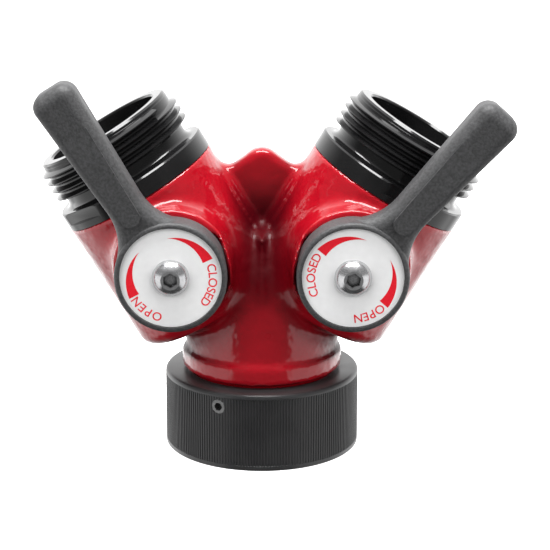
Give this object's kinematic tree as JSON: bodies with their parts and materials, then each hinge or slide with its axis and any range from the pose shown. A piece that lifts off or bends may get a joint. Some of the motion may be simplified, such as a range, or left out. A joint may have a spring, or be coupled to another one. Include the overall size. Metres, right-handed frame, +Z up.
{
  "type": "fire hose wye valve",
  "caption": "Gated wye for fire hose: swivel inlet coupling, red cast body and threaded outlets, each shut by a ball valve with a lever and a round dial.",
  "frame": {"origin": "centre of the inlet face at the foot of the swivel coupling", "axes": "+Z up along the inlet axis, +X towards the right outlet, levers on the -Y side"},
  "size_m": [0.1503, 0.0781, 0.129],
  "materials": {
    "red_paint": "glossy red powder coat on cast aluminium",
    "black_anodised": "black hard anodised, satin",
    "grey_paint": "dark grey satin coat on cast aluminium",
    "dial_plate": "white printed plate",
    "steel": "plain stainless steel",
    "ball_metal": "polished plated ball",
    "seat_plastic": "white seat plastic",
    "rubber": "black rubber"
  },
  "bodies": {
    "body": {"wye_body": "red_paint", "swivel_seal": "rubber", "adapter_left": "black_anodised", "adapter_seal_left": "rubber", "outer_seat_left": "seat_plastic", "inner_seat_left": "seat_plastic", "adapter_right": "black_anodised", "adapter_seal_right": "rubber", "outer_seat_right": "seat_plastic", "inner_seat_right": "seat_plastic"},
    "inlet": {"inlet_coupling": "black_anodised", "inlet_gasket": "rubber", "race_balls": "steel", "race_plug": "steel"},
    "valve_left": {"valve_ball_left": "ball_metal", "stem_left": "steel", "stem_seals_left": "rubber", "thrust_washer_left": "seat_plastic", "lever_washer_left": "seat_plastic", "lever_left": "grey_paint", "dial_left": "dial_plate", "lever_screw_left": "steel"},
    "valve_right": {"valve_ball_right": "ball_metal", "stem_right": "steel", "stem_seals_right": "rubber", "thrust_washer_right": "seat_plastic", "lever_washer_right": "seat_plastic", "lever_right": "grey_paint", "dial_right": "dial_plate", "lever_screw_right": "steel"}
  },
  "joints": [
    {"name": "inlet_swivel", "type": "hinge", "parent": "body", "child": "inlet", "pos_m": [0, 0, 0], "axis": [0, 0, 1], "continuous": true},
    {"name": "left_lever_turn", "type": "hinge", "parent": "body", "child": "valve_left", "pos_m": [-0.02835, 0, 0.06818], "axis": [0, -1, 0], "range_deg": [-0.8, 89.2]},
    {"name": "right_lever_turn", "type": "hinge", "parent": "body", "child": "valve_right", "pos_m": [0.02835, 0, 0.06818], "axis": [0, 1, 0], "range_deg": [-10.3, 79.7]}
  ]
}
